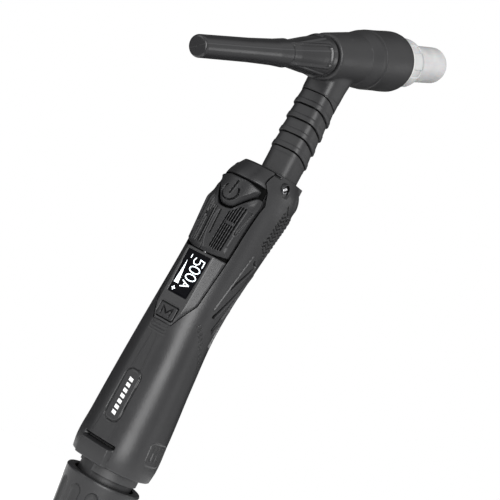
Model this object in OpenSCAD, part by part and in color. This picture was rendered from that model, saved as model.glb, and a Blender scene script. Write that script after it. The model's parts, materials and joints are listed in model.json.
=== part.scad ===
// Water-cooled TIG welding torch with a digital control handle.
// +Z runs up the handle from the centre of the cable inlet, the controls face -Y
// and the ceramic cup points towards +Y. Head parts are drawn along their own axis.

/* [Handle] */
// Length of the handle
handle_length = 152; // [140:1:165]
// Wall thickness of the handle shell
handle_wall = 2.2; // [1.8:0.1:2.6]
// Roundness of the handle section, 2 is an ellipse
section_power = 2.2; // [2:0.1:2.6]

/* [Neck and head] */
// Distance of the neck axis behind the handle axis
neck_offset = 12.7; // [11:0.1:13]
// Height of the head axis above the top of the handle
head_rise = 64.4; // [60:0.2:70]
// Angle between the cup's axis and the handle
head_angle = 69; // [66:0.5:72]
// Width across the flats of the neck
neck_width = 17; // [16:0.2:17.4]
// Radius of the moulded head
head_radius = 12.3; // [11.8:0.1:12.4]
// Radius of the heat shield
shield_radius = 14.9; // [14.2:0.1:15.4]

/* [Cup and back cap] */
// Length of the ceramic cup
cup_length = 41.6; // [36:0.2:48]
// Outside radius of the cup's mouth
cup_tip_radius = 9.3; // [9:0.1:9.8]
// Inside radius of the cup's mouth
cup_bore_radius = 7.3; // [6:0.1:7.6]
// Length of the back cap outside the head
back_cap_length = 93; // [60:1:100]
// Bore radius of the collet
electrode_radius = 1.65; // [0.85:0.05:2.05]

/* [Cable sleeve] */
// Length of the fluted sleeve
sleeve_length = 45; // [42:1:48]
// Outside radius of the sleeve's upper rim
sleeve_rim_radius = 18.4; // [18:0.1:18.8]
// Number of flutes around the sleeve
flute_count = 12; // [10:1:14]
// Bore radius of the cable grommet
cable_radius = 8; // [7:0.1:8.5]
// Open gap between the sleeve and the handle
tail_gap = 7; // [6:0.5:8]

/* [Hidden] */
$fn = 64;

handle_base = sleeve_length + tail_gap;
handle_top = handle_base + handle_length;
head_height = handle_top + head_rise;
slit = 0.3; // gap around a moving control
ring_points = 36;

// Handle shape: half width, front and back faces against height above the handle's lower end
grip_width = [[0, 18.9], [4, 19.5], [20, 19.1], [48, 17.7], [74, 16.3], [88, 16.1], [106, 16.3],
    [120, 16.7], [138, 16.5], [146, 15.3], [152, 12.2]];
grip_front = [[0, -19.4], [4, -20.1], [20, -20], [48, -19.6], [74, -19.2], [88, -18.4], [106, -17.6],
    [138, -17.3], [146, -15.6], [152, -11.5]];
grip_back = [[0, 17.8], [4, 18.2], [20, 17], [48, 13.6], [74, 12.4], [88, 14], [106, 18], [120, 21],
    [138, 25.4], [146, 25.6], [152, 23.4]];
grip_levels = [0, 4, 20, 48, 74, 88, 106, 120, 138, 146, 152];

// Controls on the front face, as heights above the handle's lower end
cover_low = 69;
mode_low = 70.8;
mode_high = 77.4;
display_low = 82.8;
display_high = 103.8;
rocker_low = 105.6;
rocker_high = 137.5;
trigger_low = 128.6;
trigger_high = 142;
trigger_middle = 135;
pin_depth = -13.6;
board_front = -9.6;
board_back = -8;
switch_x = 5.5;
board_screw_x = 6;
board_screw_levels = [74.5, 139.5];

// Head stations along the cup's axis, measured from the neck axis
head_rear = -16.7;
core_rear = -16;
shield_start = 8.5;
head_front = 19;
shield_end = 46.8;
cup_start = 47.8;
cup_end = cup_start + cup_length;
cap_end = head_rear - 1.2 - back_cap_length;
core_radius = 8.4;
thread_radius = 5.9;
fit_gap = 0.05;

// Cable ball joint
ball_height = 30;
ball_radius = 12.5;
ball_gap = 0.3;

function curve(value) = sign(value) * pow(abs(value), 2 / section_power);

function grip_ring(level, inset, drop) =
    let (wide = lookup(level, grip_width) - inset)
    let (front = lookup(level, grip_front) + inset)
    let (back = lookup(level, grip_back) - inset)
    [for (i = [0 : ring_points - 1])
        let (turn = 360 * i / ring_points)
        [wide * curve(cos(turn)), (front + back) / 2 + (back - front) / 2 * curve(sin(turn)),
            handle_base + level + drop]];

function ring_faces(base) =
    [for (i = [0 : ring_points - 1], half = [0, 1])
        let (next = (i + 1) % ring_points)
        half == 0 ? [base + i, base + ring_points + i, base + ring_points + next]
            : [base + i, base + ring_points + next, base + next]];

// Closed solid through the handle's sections, inset from its outer surface
module grip_solid(levels, inset, low_drop = 0, high_drop = 0) {
    last = len(levels) - 1;
    points = [for (k = [0 : last])
        each grip_ring(levels[k], inset, k == 0 ? low_drop : k == last ? high_drop : 0)];
    sides = [for (k = [0 : last - 1]) each ring_faces(k * ring_points)];
    bottom = [for (i = [0 : ring_points - 1]) i];
    top = [for (i = [ring_points - 1 : -1 : 0]) last * ring_points + i];
    polyhedron(points, concat([bottom, top], sides));
}

function levels_between(low, high) =
    concat([low], [for (level = grip_levels) if (level > low + 0.5 && level < high - 0.5) level], [high]);

// Slice of the handle's wall between two insets, cut to an outline seen from the front
module wall_piece(low, high, outer_inset, inner_inset, depth_limit = 0) {
    levels = levels_between(low - 1, high + 1);
    intersection() {
        difference() {
            grip_solid(levels, outer_inset);
            grip_solid(levels, inner_inset, -1, 1);
        }
        front_prism(-30, depth_limit) children();
    }
}

// Outline drawn with X to the right and the height above the handle's lower end upwards
module front_prism(front, back) {
    translate([0, back, handle_base])
        rotate([90, 0, 0])
            linear_extrude(back - front) children();
}

module mirrored_outline(right_points) {
    left_points = [for (i = [len(right_points) - 1 : -1 : 0]) [-right_points[i][0], right_points[i][1]]];
    polygon(concat(right_points, left_points));
}

module cover_outline(grow = 0) {
    mirrored_outline([[5.2 + grow, cover_low - grow], [10.8 + grow, 82], [12.3 + grow, 108],
        [13.9 + grow, 136], [12 + grow, 143], [11.8 + grow, 153]]);
}

module rocker_outline() {
    mirrored_outline([[6, rocker_low], [11.9, rocker_low + 1.6], [13.3, 134], [12.9, rocker_high],
        [11.2, rocker_high], [5.6, 130.2], [4, trigger_low - 0.5], [1.6, trigger_low - 1.1]]);
}

module trigger_outline(grow = 0) {
    mirrored_outline([[1.6, trigger_low - grow], [3.8 + grow, trigger_low + 0.7 - grow],
        [5.4 + grow, 130.9 - grow], [11 + grow, 137.9 - grow], [12 + grow, 139.4],
        [11.4 + grow, trigger_high - 1.2 + grow], [5, trigger_high + grow]]);
}

module mode_outline(grow = 0) {
    mirrored_outline([[4.4 + grow, mode_low - grow], [5 + grow, mode_low + 1],
        [5 + grow, mode_high - 1], [4.4 + grow, mode_high + grow]]);
}

module display_outline(grow = 0) {
    mirrored_outline([[5.4 + grow, display_low - grow], [6.5 + grow, display_high + grow]]);
}

module block(x_low, x_high, y_low, y_high, z_low, z_high) {
    translate([x_low, y_low, z_low]) cube([x_high - x_low, y_high - y_low, z_high - z_low]);
}

module bar_x(x_low, x_high, radius, y, z) {
    translate([x_low, y, z]) rotate([0, 90, 0]) cylinder(h = x_high - x_low, r = radius);
}

module bar_y(y_low, y_high, radius, x, z) {
    translate([x, y_low, z]) rotate([-90, 0, 0]) cylinder(h = y_high - y_low, r = radius);
}

module rounded_bar(half_x, half_y, corner, low, high) {
    translate([0, neck_offset, low])
        linear_extrude(high - low)
            union() {
                square([2 * half_x, 2 * (half_y - corner)], center = true);
                square([2 * (half_x - corner), 2 * half_y], center = true);
                for (sx = [-1, 1], sy = [-1, 1])
                    translate([sx * (half_x - corner), sy * (half_y - corner)]) circle(corner);
            }
}

module along_head() {
    translate([0, neck_offset, head_height]) rotate([-head_angle, 0, 0]) children();
}

module head_turned(points) {
    along_head() rotate_extrude() polygon(points);
}

module both_sides() {
    children();
    mirror([1, 0, 0]) children();
}

// ---------- handle ----------

screw_height = handle_base + 146.9;
screw_y = 0;
plate_low = 18;
plate_high = 45;

module handle_body() {
    color([0.16, 0.16, 0.17])
        difference() {
            union() {
                grip_solid(grip_levels, 0);
                lower_catch();
            }
            grip_solid(grip_levels, handle_wall, -1, -handle_wall);
            front_prism(-30, 0) cover_outline(0.2);
            block(-14, 14, -15, 4, handle_top - 6, handle_top + 1);
            rounded_bar(neck_width / 2 + 0.1, neck_width / 2 + 0.1, 5, handle_top - 8, handle_top + 1);
            both_sides() {
                bar_x(14, 18, 2.6, screw_y, screw_height);
                bar_x(9, 18, 1.3, screw_y, screw_height);
            }
        }
}

// Wedge that catches the tail collar, moulded on the lower front edge
module lower_catch() {
    catch_half = 7.6;
    translate([-catch_half, 0, handle_base])
        rotate([90, 0, 90])
            linear_extrude(2 * catch_half)
                polygon([[-18.5, 1.5], [-20.6, 1.5], [-21.4, 9.5], [-20.9, 10.2], [-18.5, 10.2]]);
}

module front_cover() {
    deck_outer = 2.6;
    deck_inner = 3.8;
    color([0.17, 0.17, 0.18])
        difference() {
            union() {
                difference() {
                    wall_piece(cover_low, 151, 0, handle_wall) cover_outline();
                    front_prism(-30, -1) {
                        mirrored_outline([[20, rocker_low - slit], [20, 143.2]]);
                        mode_outline(slit);
                        display_outline();
                    }
                }
                wall_piece(rocker_low - 1, trigger_low + 5, deck_outer, deck_inner) cover_deck();
                wall_piece(rocker_low - 3, rocker_low, deck_outer - 0.6, deck_inner)
                    both_sides() deck_strip(rocker_low - 2.6, rocker_low - slit);
                cover_roof();
                both_sides() block(9.6, 11.5, screw_y - 5, screw_y + 2, screw_height - 2, screw_height + 1.5);
            }
            front_prism(-30, -1) {
                display_outline(-0.8);
                mode_outline(slit);
                trigger_outline(0.5);
            }
            both_sides() {
                bar_y(-20, -8, 1.6, switch_x, handle_base + 116);
                bar_x(8, 14, 1.1, screw_y, screw_height);
            }
        }
}

// Recessed deck below the moving controls
module cover_deck() {
    both_sides() deck_strip(rocker_low - slit, trigger_low);
    mirrored_outline([[3, 126.9], [3, trigger_low]]);
}

module deck_strip(low, high) {
    translate([2.8, low]) square([5.6, high - low]);
}

// Top of the cover, between the trigger and the neck
module cover_roof() {
    roof_levels = [141.2, 146, 152];
    intersection() {
        difference() {
            grip_solid(roof_levels, 0);
            grip_solid(roof_levels, handle_wall, -1, -handle_wall);
        }
        block(-11.8, 11.8, -20, 3.8, handle_base + 143.2, handle_top + 1);
    }
}

module board_carrier() {
    post_front = -15;
    color([0.25, 0.25, 0.26])
        difference() {
            union() {
                block(-10.5, 10.5, board_back, board_back + 1.8, handle_base + 71, handle_base + 143);
                for (low = [102.6, 124.2])
                    block(-1.8, 1.8, post_front, board_back, handle_base + low, handle_base + low + 2.4);
                both_sides() {
                    block(9.2, 10.5, board_back, 6, handle_base + 130, handle_base + 139);
                    for (z = board_screw_levels)
                        bar_y(board_back + 1, board_back + 4, 1.9, board_screw_x, handle_base + z);
                }
            }
            for (low = [102, 123.6])
                translate([0, pin_depth, handle_base + low]) cylinder(h = 4, r = 1);
            both_sides()
                for (z = board_screw_levels)
                    bar_y(board_back - 1, board_back + 3.4, 0.8, board_screw_x, handle_base + z);
        }
}

module circuit_board() {
    color([0.05, 0.28, 0.16])
        difference() {
            block(-9.2, 9.2, board_front, board_back, handle_base + 72, handle_base + 142);
            for (low = [102.2, 123.8])
                block(-2.1, 2.1, board_front - 1, board_back + 1, handle_base + low, handle_base + low + 3.2);
            both_sides()
                for (z = board_screw_levels)
                    bar_y(board_front - 1, board_back + 1, 1, board_screw_x, handle_base + z);
        }
}

module board_screws() {
    color("silver")
        both_sides()
            for (z = board_screw_levels) {
                bar_y(board_front - 1.1, board_front, 1.7, board_screw_x, handle_base + z);
                bar_y(board_front - 0.5, board_back + 3, 0.8, board_screw_x, handle_base + z);
            }
}

module control_socket() {
    color([0.9, 0.88, 0.8])
        difference() {
            block(-6.5, 6.5, board_back + 1.8, 0, handle_base + 84, handle_base + 92);
            block(-5.5, 5.5, board_back + 3, 0, handle_base + 83, handle_base + 91);
        }
}

module display_panel() {
    color([0.1, 0.1, 0.12])
        block(-6.6, 6.6, -14, board_front, handle_base + display_low - 1, handle_base + display_high - 1.6);
}

module display_window() {
    color([0.02, 0.02, 0.03])
        wall_piece(display_low - 1, display_high + 1, 0.1, 1.5) display_outline();
}

module trigger_button() {
    color([0.15, 0.15, 0.16]) {
        wall_piece(trigger_low - 2, trigger_high + 1, -0.8, 1.9) trigger_outline();
        block(-2.5, 2.5, -16.4, -13.2, handle_base + trigger_middle - 2.5, handle_base + trigger_middle + 2.5);
    }
}

module trigger_switch() {
    color([0.12, 0.12, 0.12])
        difference() {
            block(-3.2, 3.2, -11.5, board_front, handle_base + trigger_middle - 3.2,
                handle_base + trigger_middle + 3.2);
            bar_y(-12, board_front + 0.1, 1.4, 0, handle_base + trigger_middle);
        }
}

module trigger_plunger() {
    color("ivory") bar_y(-13.2, -11.15, 1.2, 0, handle_base + trigger_middle);
}

module control_rocker() {
    color([0.18, 0.18, 0.19])
        difference() {
            union() {
                wall_piece(rocker_low, rocker_high, 0, 1.7) rocker_outline();
                for (low = [105.6, 120])
                    block(-2.1, 2.1, -16.6, -12.1, handle_base + low, handle_base + low + 3.6);
                both_sides() bar_y(-15.8, -12.5, 1.1, switch_x, handle_base + 116);
            }
            for (low = [104, 118])
                translate([0, pin_depth, handle_base + low]) cylinder(h = 6.5, r = 1 + 0.04);
        }
}

module rocker_pins() {
    color("silver") {
        translate([0, pin_depth, handle_base + 103]) cylinder(h = 6, r = 1);
        translate([0, pin_depth, handle_base + 120.4]) cylinder(h = 6, r = 1);
    }
}

module rocker_switches() {
    color([0.12, 0.12, 0.12])
        both_sides() {
            block(switch_x - 1.8, switch_x + 1.8, -10.9, board_front, handle_base + 114.2, handle_base + 117.8);
            bar_y(-12.1, -10.8, 1.1, switch_x, handle_base + 116);
        }
}

module mode_button() {
    middle = handle_base + (mode_low + mode_high) / 2;
    color([0.17, 0.17, 0.18]) {
        wall_piece(mode_low - 1, mode_high + 1, -0.3, 1.6) mode_outline();
        bar_y(-18.2, -12.9, 1.6, 0, middle);
    }
}

module mode_switch() {
    middle = handle_base + (mode_low + mode_high) / 2;
    color([0.12, 0.12, 0.12]) {
        block(-2.6, 2.6, -11.4, board_front, middle - 2.6, middle + 2.6);
        bar_y(-12.1, -11.3, 1.3, 0, middle);
    }
}

module side_screws() {
    color("silver")
        both_sides()
            difference() {
                union() {
                    bar_x(14, 15, 2.4, screw_y, screw_height);
                    bar_x(9.7, 14.5, 1.1, screw_y, screw_height);
                }
                block(14.5, 16, screw_y - 0.3, screw_y + 0.3, screw_height - 1.6, screw_height + 1.6);
            }
}

module name_plate() {
    color([0.14, 0.14, 0.15])
        wall_piece(plate_low - 1, plate_high + 1, -0.5, -0.02)
            union() {
                translate([-4, plate_low + 4]) square([8, plate_high - plate_low - 8]);
                for (z = [plate_low + 4, plate_high - 4]) translate([0, z]) circle(4);
            }
}

// ---------- neck and services ----------

clamp_low = handle_base + 134;
clamp_high = handle_base + 143;
tube_top = head_height - 4;
power_y = neck_offset - 2.9;
small_y = neck_offset + 3.2;
small_x = 3.4;

module tube_holes(low, high, slack = 0) {
    translate([0, power_y, low]) cylinder(h = high - low, r = 3.4 + slack);
    for (side = [-1, 1])
        translate([side * small_x, small_y, low]) cylinder(h = high - low, r = 2.2 + slack);
}

module neck_clamp() {
    color([0.22, 0.22, 0.23])
        difference() {
            translate([0, neck_offset, clamp_low]) cylinder(h = clamp_high - clamp_low, r = 9.2);
            tube_holes(clamp_low - 1, clamp_high + 1);
            both_sides() bar_x(6.6, 12, 1.2, neck_offset, (clamp_low + clamp_high) / 2);
        }
}

module clamp_screws() {
    color("silver") both_sides() bar_x(6.6, 11.4, 1.2, neck_offset, (clamp_low + clamp_high) / 2);
}

sleeve_low = clamp_high + 0.5;
sleeve_high = head_height - 20.6;
rib_pitch = 7.4;

module neck_sleeve() {
    corner = 5;
    half = neck_width / 2;
    color([0.14, 0.14, 0.15])
        difference() {
            rounded_bar(half, half, corner, sleeve_low, sleeve_high);
            for (k = [0 : 3])
                difference() {
                    low = sleeve_high - 1 - rib_pitch * k;
                    rounded_bar(half + 1, half + 1, corner, low - 0.9, low);
                    rounded_bar(half - 0.7, half - 0.7, corner - 0.7, low - 2, low + 1);
                }
            tube_holes(sleeve_low - 1, sleeve_high + 1, 0.1);
        }
}

module bent_tube(x, y, radius, bore, low, high) {
    color([0.72, 0.45, 0.2])
        difference() {
            translate([x, y, low]) cylinder(h = high - low, r = radius);
            translate([x, y, low - 1]) cylinder(h = high - low + 0.5, r = bore);
        }
}

tube_low = handle_base + 128;
module power_tube() {
    bent_tube(0, power_y, 3.4, 2.2, handle_base + 113, head_height - 10.5);
}

module gas_tube() {
    bent_tube(-small_x, small_y, 2.2, 1.5, tube_low, tube_top - 2);
}

module water_tube() {
    bent_tube(small_x, small_y, 2.2, 1.5, tube_low, tube_top - 2);
}

module power_fitting() {
    color([0.78, 0.62, 0.25])
        difference() {
            union() {
                translate([0, power_y, handle_base + 108]) cylinder(h = 9, r = 5.4, $fn = 6);
                translate([0, power_y, handle_base + 99]) cylinder(h = 9.5, r = 4.1);
            }
            translate([0, power_y, handle_base + 113]) cylinder(h = 10, r = 3.4);
            translate([0, power_y, handle_base + 98]) cylinder(h = 16, r = 2.2);
        }
}

module barb(x) {
    color([0.78, 0.62, 0.25])
        difference() {
            translate([x, small_y, 0])
                rotate_extrude()
                    polygon([[0, tube_low - 10], [1.9, tube_low - 10], [2.5, tube_low - 7.5],
                        [2, tube_low - 7], [2.5, tube_low - 4.5], [2, tube_low - 4],
                        [2.9, tube_low - 3], [2.9, tube_low + 5], [0, tube_low + 5]]);
            translate([x, small_y, tube_low]) cylinder(h = 6, r = 2.2);
            translate([x, small_y, tube_low - 11]) cylinder(h = 14, r = 1.2);
        }
}

module gas_barb() {
    barb(-small_x);
}

module water_barb() {
    barb(small_x);
}

// ---------- head ----------

module head_core() {
    color([0.78, 0.62, 0.25])
        difference() {
            union() {
                along_head()
                    translate([0, 0, core_rear]) cylinder(h = head_front - core_rear, r = core_radius);
                rounded_bar(6.4, 6.4, 3, head_height - 15.4, head_height - 3);
            }
            along_head() {
                translate([0, 0, core_rear - 1]) cylinder(h = 50, r = 3.8);
                translate([0, 0, core_rear - 1]) cylinder(h = 13, r = thread_radius + fit_gap);
                translate([0, 0, 3]) cylinder(h = 30, r = thread_radius + 0.02);
            }
            tube_holes(head_height - 16, tube_top - 2, 0);
        }
}

module head_cover() {
    half = neck_width / 2;
    color([0.15, 0.15, 0.16])
        difference() {
            union() {
                head_turned([[0, head_rear], [head_radius - 1.7, head_rear], [head_radius - 1.4, head_rear + 0.4],
                    [head_radius + 0.2, shield_start - 0.1], [head_radius, shield_start],
                    [head_radius, head_front], [0, head_front]]);
                rounded_bar(half, half, 5, sleeve_high, head_height - 2);
            }
            along_head() {
                translate([0, 0, head_rear - 1]) cylinder(h = 50, r = core_radius);
            }
            rounded_bar(6.4, 6.4, 3, head_height - 15.4, head_height);
            tube_holes(sleeve_high - 1, head_height - 14, 0.1);
        }
}

module heat_shield() {
    color([0.16, 0.16, 0.17])
        head_turned([[head_radius, shield_start], [head_radius + 0.5, shield_start],
            [shield_radius - 0.9, head_front - 3], [shield_radius - 0.5, head_front],
            [shield_radius, 38], [shield_radius, 42.4], [shield_radius - 0.6, 44.6],
            [shield_radius - 2.1, shield_end], [9.8, shield_end], [9.8, 42], [10.7, 40],
            [10.7, head_front], [head_radius, head_front]]);
}

module collet_body() {
    color([0.8, 0.55, 0.3])
        head_turned([[3, 3.5], [thread_radius, 3.5], [thread_radius, head_front + 0.2],
            [10.6, head_front + 0.2], [10.6, 39.8], [9.4, 41.8], [9.4, 55], [7.4, 55.2], [7.4, 62],
            [6.9, 62], [6.9, 59.5], [3, 59.5]]);
}

module gas_lens_screens() {
    color("silver")
        for (s = [59.7, 60.6, 61.5])
            head_turned([[3, s], [6.8, s], [6.8, s + 0.4], [3, s + 0.4]]);
}

module collet() {
    color([0.8, 0.5, 0.28])
        head_turned([[electrode_radius, -10], [3.1, -10], [3.1, -7], [2.9, -5], [2.9, 60],
            [2.4, 62.6], [electrode_radius, 62.6]]);
}

module cup_gasket() {
    color("white")
        head_turned([[9.9, shield_end], [13.1, shield_end], [13.1, cup_start], [9.9, cup_start]]);
}

module cup() {
    base_radius = 12.4;
    color([0.92, 0.92, 0.92])
        difference() {
            head_turned([[9.4 + fit_gap, cup_start], [base_radius, cup_start], [base_radius, 57],
                [base_radius - 0.5, 58.6], [cup_tip_radius + 1, 62.4], [cup_tip_radius, 63.6],
                [cup_tip_radius, cup_end - 1], [cup_tip_radius - 0.8, cup_end], [cup_bore_radius, cup_end],
                [cup_bore_radius, 66], [8.1, 63.4], [8.1, 56.4], [9.4 + fit_gap, 55.8]]);
            along_head()
                for (k = [0 : 5])
                    rotate([0, 0, 60 * k + 10])
                        translate([base_radius + 3, 0, cup_start + 1.6]) cylinder(h = 15, r = 3.5);
        }
}

module back_cap() {
    flat_span = 26;
    color([0.12, 0.12, 0.13])
        difference() {
            head_turned([[0, cap_end], [3.9, cap_end], [4.5, cap_end + 0.3], [4.8, cap_end + 1],
                [5.2, -76], [5.8, -58], [7, -43], [9.1, -28], [9.8, -22], [9.8, -18.6],
                [9.3, -17.9], [6.2, -17.9], [thread_radius, -17.4], [thread_radius, -7], [3.5, -7],
                [3.5, cap_end + 5], [0, cap_end + 5]]);
            along_head()
                for (k = [0 : 3])
                    rotate([0, 0, 90 * k - 28])
                        translate([5.6, -6, -23 - flat_span])
                            rotate([0, 7, 0]) cube([6, 12, flat_span]);
        }
}

module back_cap_o_ring() {
    color([0.1, 0.1, 0.1])
        along_head() translate([0, 0, -16.95]) rotate_extrude() translate([7.2, 0]) circle(0.85, $fn = 24);
}

// ---------- tail ----------

module tail_collar() {
    color([0.15, 0.15, 0.16])
        difference() {
            union() {
                translate([0, 0, ball_height]) sphere(ball_radius);
                translate([0, 0, ball_height]) cylinder(h = 13, r = 8.6);
                translate([0, 0, ball_height + 12]) cylinder(h = handle_base - ball_height - 6, r = 13.4);
                translate([0, 0, handle_base + 5.3]) cylinder(h = 2.4, r = 15);
                difference() {
                    translate([0, 0, handle_base - 4.4]) cylinder(h = 3.8, r = 14.7);
                    block(-16, 0.8, -16, -4, handle_base - 5, handle_base);
                }
            }
            translate([0, 0, 10]) cylinder(h = 60, r = 6.6);
            translate([0, 0, ball_height - 20]) cylinder(h = 12.5, r = 20);
        }
}

module collar_retainer() {
    color([0.2, 0.2, 0.21])
        difference() {
            translate([0, -0.7, handle_base + 0.8]) cylinder(h = 4.2, r = 15.8);
            translate([0, 0, handle_base]) cylinder(h = 8, r = 13.4 + fit_gap);
        }
}

module sleeve_lock_ring() {
    color([0.2, 0.2, 0.21])
        difference() {
            translate([0, 0, ball_height + 0.2]) cylinder(h = 6.8, r = 14.6);
            translate([0, 0, ball_height]) sphere(ball_radius + ball_gap);
            translate([0, 0, ball_height]) cylinder(h = 10, r = 10.2);
        }
}

module cable_sleeve() {
    foot_radius = 13.2;
    slope = atan((sleeve_rim_radius - foot_radius) / sleeve_length);
    color([0.15, 0.15, 0.16])
        difference() {
            rotate_extrude()
                polygon([[11.4, 0], [foot_radius - 0.6, 0], [foot_radius, 0.8],
                    [sleeve_rim_radius, sleeve_length - 1.2], [sleeve_rim_radius - 0.9, sleeve_length],
                    [15.7, sleeve_length], [15.7, ball_height + 7], [14.6, ball_height + 7],
                    [14.6, ball_height + 0.1], [ball_radius + ball_gap, ball_height + 0.1],
                    [ball_radius + ball_gap, ball_height], [11.4, ball_height - 6.5], [11.4, 0]]);
            for (k = [0 : flute_count - 1])
                rotate([0, 0, 360 * (k + 0.5) / flute_count])
                    translate([foot_radius + 2, 0, 4]) {
                        rotate([0, slope, 0]) cylinder(h = 33, r = 2.3);
                        translate([33 * sin(slope), 0, 33 * cos(slope)]) sphere(2.3);
                    }
        }
}

module cable_grommet() {
    color([0.08, 0.08, 0.08])
        difference() {
            cylinder(h = 16, r = 11.4);
            translate([0, 0, -1]) cylinder(h = 18, r = cable_radius);
        }
}

handle_body();
front_cover();
board_carrier();
circuit_board();
board_screws();
control_socket();
display_panel();
display_window();
trigger_button();
trigger_switch();
trigger_plunger();
control_rocker();
rocker_pins();
rocker_switches();
mode_button();
mode_switch();
side_screws();
name_plate();
neck_clamp();
clamp_screws();
neck_sleeve();
power_tube();
gas_tube();
water_tube();
power_fitting();
gas_barb();
water_barb();
head_core();
head_cover();
heat_shield();
collet_body();
gas_lens_screens();
collet();
cup_gasket();
cup();
back_cap();
back_cap_o_ring();
tail_collar();
collar_retainer();
cable_sleeve();
sleeve_lock_ring();
cable_grommet();
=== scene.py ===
# The TIG torch dressed for rendering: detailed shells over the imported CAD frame, materials, studio, camera.
# Sizes are in millimetres, as in the CAD, until a mesh is made.
import json
import math

import bpy
import numpy as np
from mathutils import Matrix, Vector
from mathutils.geometry import delaunay_2d_cdt


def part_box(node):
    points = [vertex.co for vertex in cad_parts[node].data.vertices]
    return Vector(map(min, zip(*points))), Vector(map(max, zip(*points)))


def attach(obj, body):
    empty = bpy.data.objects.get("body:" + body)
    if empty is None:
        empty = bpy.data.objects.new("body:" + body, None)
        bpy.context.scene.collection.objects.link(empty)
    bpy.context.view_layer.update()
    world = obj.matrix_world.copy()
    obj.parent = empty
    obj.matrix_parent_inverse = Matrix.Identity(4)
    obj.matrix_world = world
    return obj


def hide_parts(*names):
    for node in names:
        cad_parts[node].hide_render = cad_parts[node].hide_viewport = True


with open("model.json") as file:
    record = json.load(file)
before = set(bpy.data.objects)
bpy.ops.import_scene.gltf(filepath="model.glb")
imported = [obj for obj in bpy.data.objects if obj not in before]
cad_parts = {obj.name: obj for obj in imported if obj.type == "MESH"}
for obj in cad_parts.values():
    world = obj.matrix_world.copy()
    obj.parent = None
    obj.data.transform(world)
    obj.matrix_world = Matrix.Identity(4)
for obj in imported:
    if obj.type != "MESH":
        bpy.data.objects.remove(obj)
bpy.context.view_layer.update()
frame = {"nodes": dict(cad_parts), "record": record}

MM = 0.001

# Handle, as in the CAD: half width, front and back faces against height above the handle's lower end
handle_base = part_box("handle_body")[0].z / MM
handle_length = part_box("handle_body")[1].z / MM - handle_base
section_power = 2.2
grip_width = [(0, 18.9), (4, 19.5), (20, 19.1), (48, 17.7), (74, 16.3), (88, 16.1), (106, 16.3), (120, 16.7),
              (138, 16.5), (146, 15.3), (152, 12.2)]
grip_front = [(0, -19.4), (4, -20.1), (20, -20), (48, -19.6), (74, -19.2), (88, -18.4), (106, -17.6),
              (138, -17.3), (146, -15.6), (152, -11.5)]
grip_back = [(0, 17.8), (4, 18.2), (20, 17), (48, 13.6), (74, 12.4), (88, 14), (106, 18), (120, 21),
             (138, 25.4), (146, 25.6), (152, 23.4)]

# Controls on the front face, as (half width, height above the handle's lower end)
cover_edge = [(5.2, 69), (10.8, 82), (12.3, 108), (13.9, 136), (12.4, 142), (10.2, 145.5), (9.4, 152)]
rocker_edge = [(6, 105.6), (11.9, 107.2), (13.3, 134), (12.9, 137.5), (11.2, 137.5), (5.6, 130.2),
               (4, 128.1), (1.6, 127.5)]
trigger_edge = [(1.6, 128.6), (3.8, 129.3), (5.4, 130.9), (9.7, 136.4), (10.6, 138), (10.3, 141), (5, 142.5)]
mode_edge = [(5, 70.8), (5, 77.4)]
display_edge = [(5.4, 82.8), (6.5, 103.8)]
cover_low = 69
panel_high = 105.3
roof_low = 143.2
flat_half = 7

# Neck and head, along the axis through the head
neck_offset = 12.7
neck_half = 8.5
head_height = 268.4
head_angle = 69
sleeve_low = 195.5
sleeve_high = 247.8
rib_pitch = 7.45
head_axes = Matrix.Translation((0, neck_offset, head_height)) @ Matrix.Rotation(math.radians(-head_angle),
                                                                                4, "X")
upright = Matrix.Identity(4)


# ---------- shapes ----------

def smooth_curve(table, where):
    """Cubic curve through a table of (place, value)."""
    knots, values = np.array(table, float).T
    slopes = np.gradient(values, knots)
    where = np.clip(where, knots[0], knots[-1])
    i = np.clip(np.searchsorted(knots, where) - 1, 0, len(knots) - 2)
    span = knots[i + 1] - knots[i]
    t = (where - knots[i]) / span
    ends = (2 * t ** 3 - 3 * t ** 2 + 1) * values[i] + (3 * t ** 2 - 2 * t ** 3) * values[i + 1]
    return ends + span * ((t ** 3 - 2 * t ** 2 + t) * slopes[i] + (t ** 3 - t ** 2) * slopes[i + 1])


def ramp(value, low, high):
    """Smooth step from 0 at low to 1 at high."""
    t = np.clip((value - low) / (high - low), 0, 1)
    return t * t * (3 - 2 * t)


def between(value, low, high, soft):
    """1 inside a range and 0 outside, with soft edges."""
    return ramp(value, low - soft, low + soft) * (1 - ramp(value, high - soft, high + soft))


def segment_distance(a, b, start, end):
    """Distance of the points (a, b) from a straight segment."""
    along = np.subtract(end, start)
    length = along @ along
    t = np.clip(((a - start[0]) * along[0] + (b - start[1]) * along[1]) / length, 0, 1)
    return np.hypot(a - start[0] - t * along[0], b - start[1] - t * along[1])


def line_distance(a, b, path, closed=False):
    """Distance of the points (a, b) from a path of straight segments."""
    ends = path[1:] + path[:1] if closed else path[1:]
    return np.min([segment_distance(a, b, p, q) for p, q in zip(path, ends)], axis=0)


def stroke(a, b, path, width, depth, closed=False):
    """Rounded groove (negative depth) or bead along a path."""
    return depth * np.clip(1 - (line_distance(a, b, path, closed) / (width / 2)) ** 2, 0, 1)


def section(level):
    """Half width, middle and half depth of the handle at a level."""
    wide = smooth_curve(grip_width, level)
    front = smooth_curve(grip_front, level)
    back = smooth_curve(grip_back, level)
    return wide, (front + back) / 2, (back - front) / 2


def grip_normal(x, y, level):
    """Outward direction of the handle's section, level with the floor."""
    wide, middle, half = section(level)
    nx = np.sign(x) * np.abs(x / wide) ** (section_power - 1) / wide
    ny = np.sign(y - middle) * np.abs((y - middle) / half) ** (section_power - 1) / half
    size = np.hypot(nx, ny) + 1e-9
    return nx / size, ny / size


def curved_depth(x, level):
    """Y of the handle's curved front."""
    wide, middle, half = section(level)
    share = np.clip(np.abs(x) / wide, 0, 0.995)
    return middle - half * (1 - share ** section_power) ** (1 / section_power)


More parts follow.
